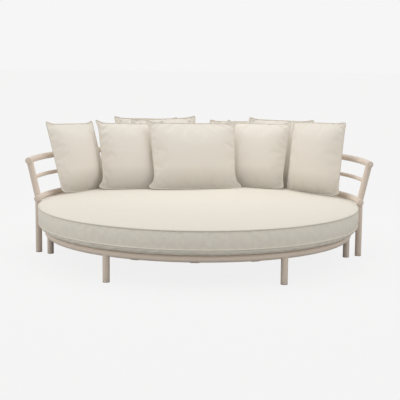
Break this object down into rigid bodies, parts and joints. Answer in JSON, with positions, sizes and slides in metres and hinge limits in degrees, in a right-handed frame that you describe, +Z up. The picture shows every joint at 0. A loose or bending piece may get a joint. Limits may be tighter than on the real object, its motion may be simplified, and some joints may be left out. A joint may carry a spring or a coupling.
{
  "type": "round outdoor daybed",
  "caption": "Round outdoor daybed: tubular ring base with slatted deck, piped round mattress, curved railed back frame and loose throw pillows.",
  "frame": {"origin": "on the floor under the middle of the footprint", "axes": "+Z up; +Y towards the back frame; +X to the right of someone facing the back frame from the front"},
  "size_m": [2.176, 2.0985, 0.8369],
  "materials": {
    "frame_paint": "satin",
    "deck_paint": "satin",
    "glide_plastic": "matte",
    "bolt_steel": "satin",
    "mattress_fabric": "matte",
    "mattress_piping": "matte",
    "pillow_fabric": "matte",
    "foam": "matte"
  },
  "bodies": {
    "frame": {"base_ring": "frame_paint", "deck_ledge": "deck_paint", "bearer_left": "deck_paint", "bearer_middle": "deck_paint", "bearer_right": "deck_paint", "leg_front_left": "frame_paint", "leg_front_right": "frame_paint", "leg_side_left": "frame_paint", "leg_side_right": "frame_paint", "leg_rear_left": "frame_paint", "leg_rear_right": "frame_paint", "slat_01": "deck_paint", "slat_02": "deck_paint", "slat_03": "deck_paint", "slat_04": "deck_paint", "slat_05": "deck_paint", "slat_06": "deck_paint", "slat_07": "deck_paint", "slat_08": "deck_paint", "slat_09": "deck_paint", "slat_10": "deck_paint", "slat_11": "deck_paint", "back_leg_left": "frame_paint", "back_leg_rear_left": "frame_paint", "back_leg_rear_right": "frame_paint", "back_leg_right": "frame_paint", "back_post_left": "frame_paint", "back_post_rear_left": "frame_paint", "back_post_rear_right": "frame_paint", "back_post_right": "frame_paint", "rail_bottom_left": "frame_paint", "rail_bottom_rear": "frame_paint", "rail_bottom_right": "frame_paint", "rail_middle_left": "frame_paint", "rail_middle_rear": "frame_paint", "rail_middle_right": "frame_paint", "rail_top_left": "frame_paint", "rail_top_rear": "frame_paint", "rail_top_right": "frame_paint", "rail_caps": "frame_paint", "leg_glides": "glide_plastic", "back_spacers": "frame_paint", "back_bolts": "bolt_steel"},
    "mattress": {"mattress_cover": "mattress_fabric", "mattress_foam": "foam", "mattress_piping_top": "mattress_piping", "mattress_piping_bottom": "mattress_piping"},
    "pillow_end_left": {"pillow_end_left": "pillow_fabric"},
    "pillow_front_left": {"pillow_front_left": "pillow_fabric"},
    "pillow_middle": {"pillow_middle": "pillow_fabric"},
    "pillow_front_right": {"pillow_front_right": "pillow_fabric"},
    "pillow_end_right": {"pillow_end_right": "pillow_fabric"},
    "pillow_rear_left": {"pillow_rear_left": "pillow_fabric"},
    "pillow_rear_centre_left": {"pillow_rear_centre_left": "pillow_fabric"},
    "pillow_rear_centre_right": {"pillow_rear_centre_right": "pillow_fabric"},
    "pillow_rear_right": {"pillow_rear_right": "pillow_fabric"}
  },
  "joints": [
    {"name": "mattress_lift", "type": "slide", "parent": "frame", "child": "mattress", "axis": [0, 0, 1], "range_m": [0, 0.45]},
    {"name": "pillow_end_left_lift", "type": "slide", "parent": "mattress", "child": "pillow_end_left", "axis": [-0.2736, 0.164, 0.9478], "range_m": [0, 0.55]},
    {"name": "pillow_front_left_lift", "type": "slide", "parent": "mattress", "child": "pillow_front_left", "axis": [-0.1114, 0.361, 0.9259], "range_m": [0, 0.55]},
    {"name": "pillow_middle_lift", "type": "slide", "parent": "mattress", "child": "pillow_middle", "axis": [-0.0926, 0.3411, 0.9354], "range_m": [0, 0.55]},
    {"name": "pillow_front_right_lift", "type": "slide", "parent": "mattress", "child": "pillow_front_right", "axis": [0.1309, 0.3195, 0.9385], "range_m": [0, 0.55]},
    {"name": "pillow_end_right_lift", "type": "slide", "parent": "mattress", "child": "pillow_end_right", "axis": [0.1064, 0.0898, 0.9903], "range_m": [0, 0.55]},
    {"name": "pillow_rear_left_lift", "type": "slide", "parent": "mattress", "child": "pillow_rear_left", "axis": [-0.1412, 0.34, 0.9298], "range_m": [0, 0.55]},
    {"name": "pillow_rear_centre_left_lift", "type": "slide", "parent": "mattress", "child": "pillow_rear_centre_left", "axis": [-0.1194, 0.3788, 0.9178], "range_m": [0, 0.55]},
    {"name": "pillow_rear_centre_right_lift", "type": "slide", "parent": "mattress", "child": "pillow_rear_centre_right", "axis": [0.1034, 0.3684, 0.9239], "range_m": [0, 0.55]},
    {"name": "pillow_rear_right_lift", "type": "slide", "parent": "mattress", "child": "pillow_rear_right", "axis": [0.121, 0.3217, 0.9391], "range_m": [0, 0.55]}
  ]
}
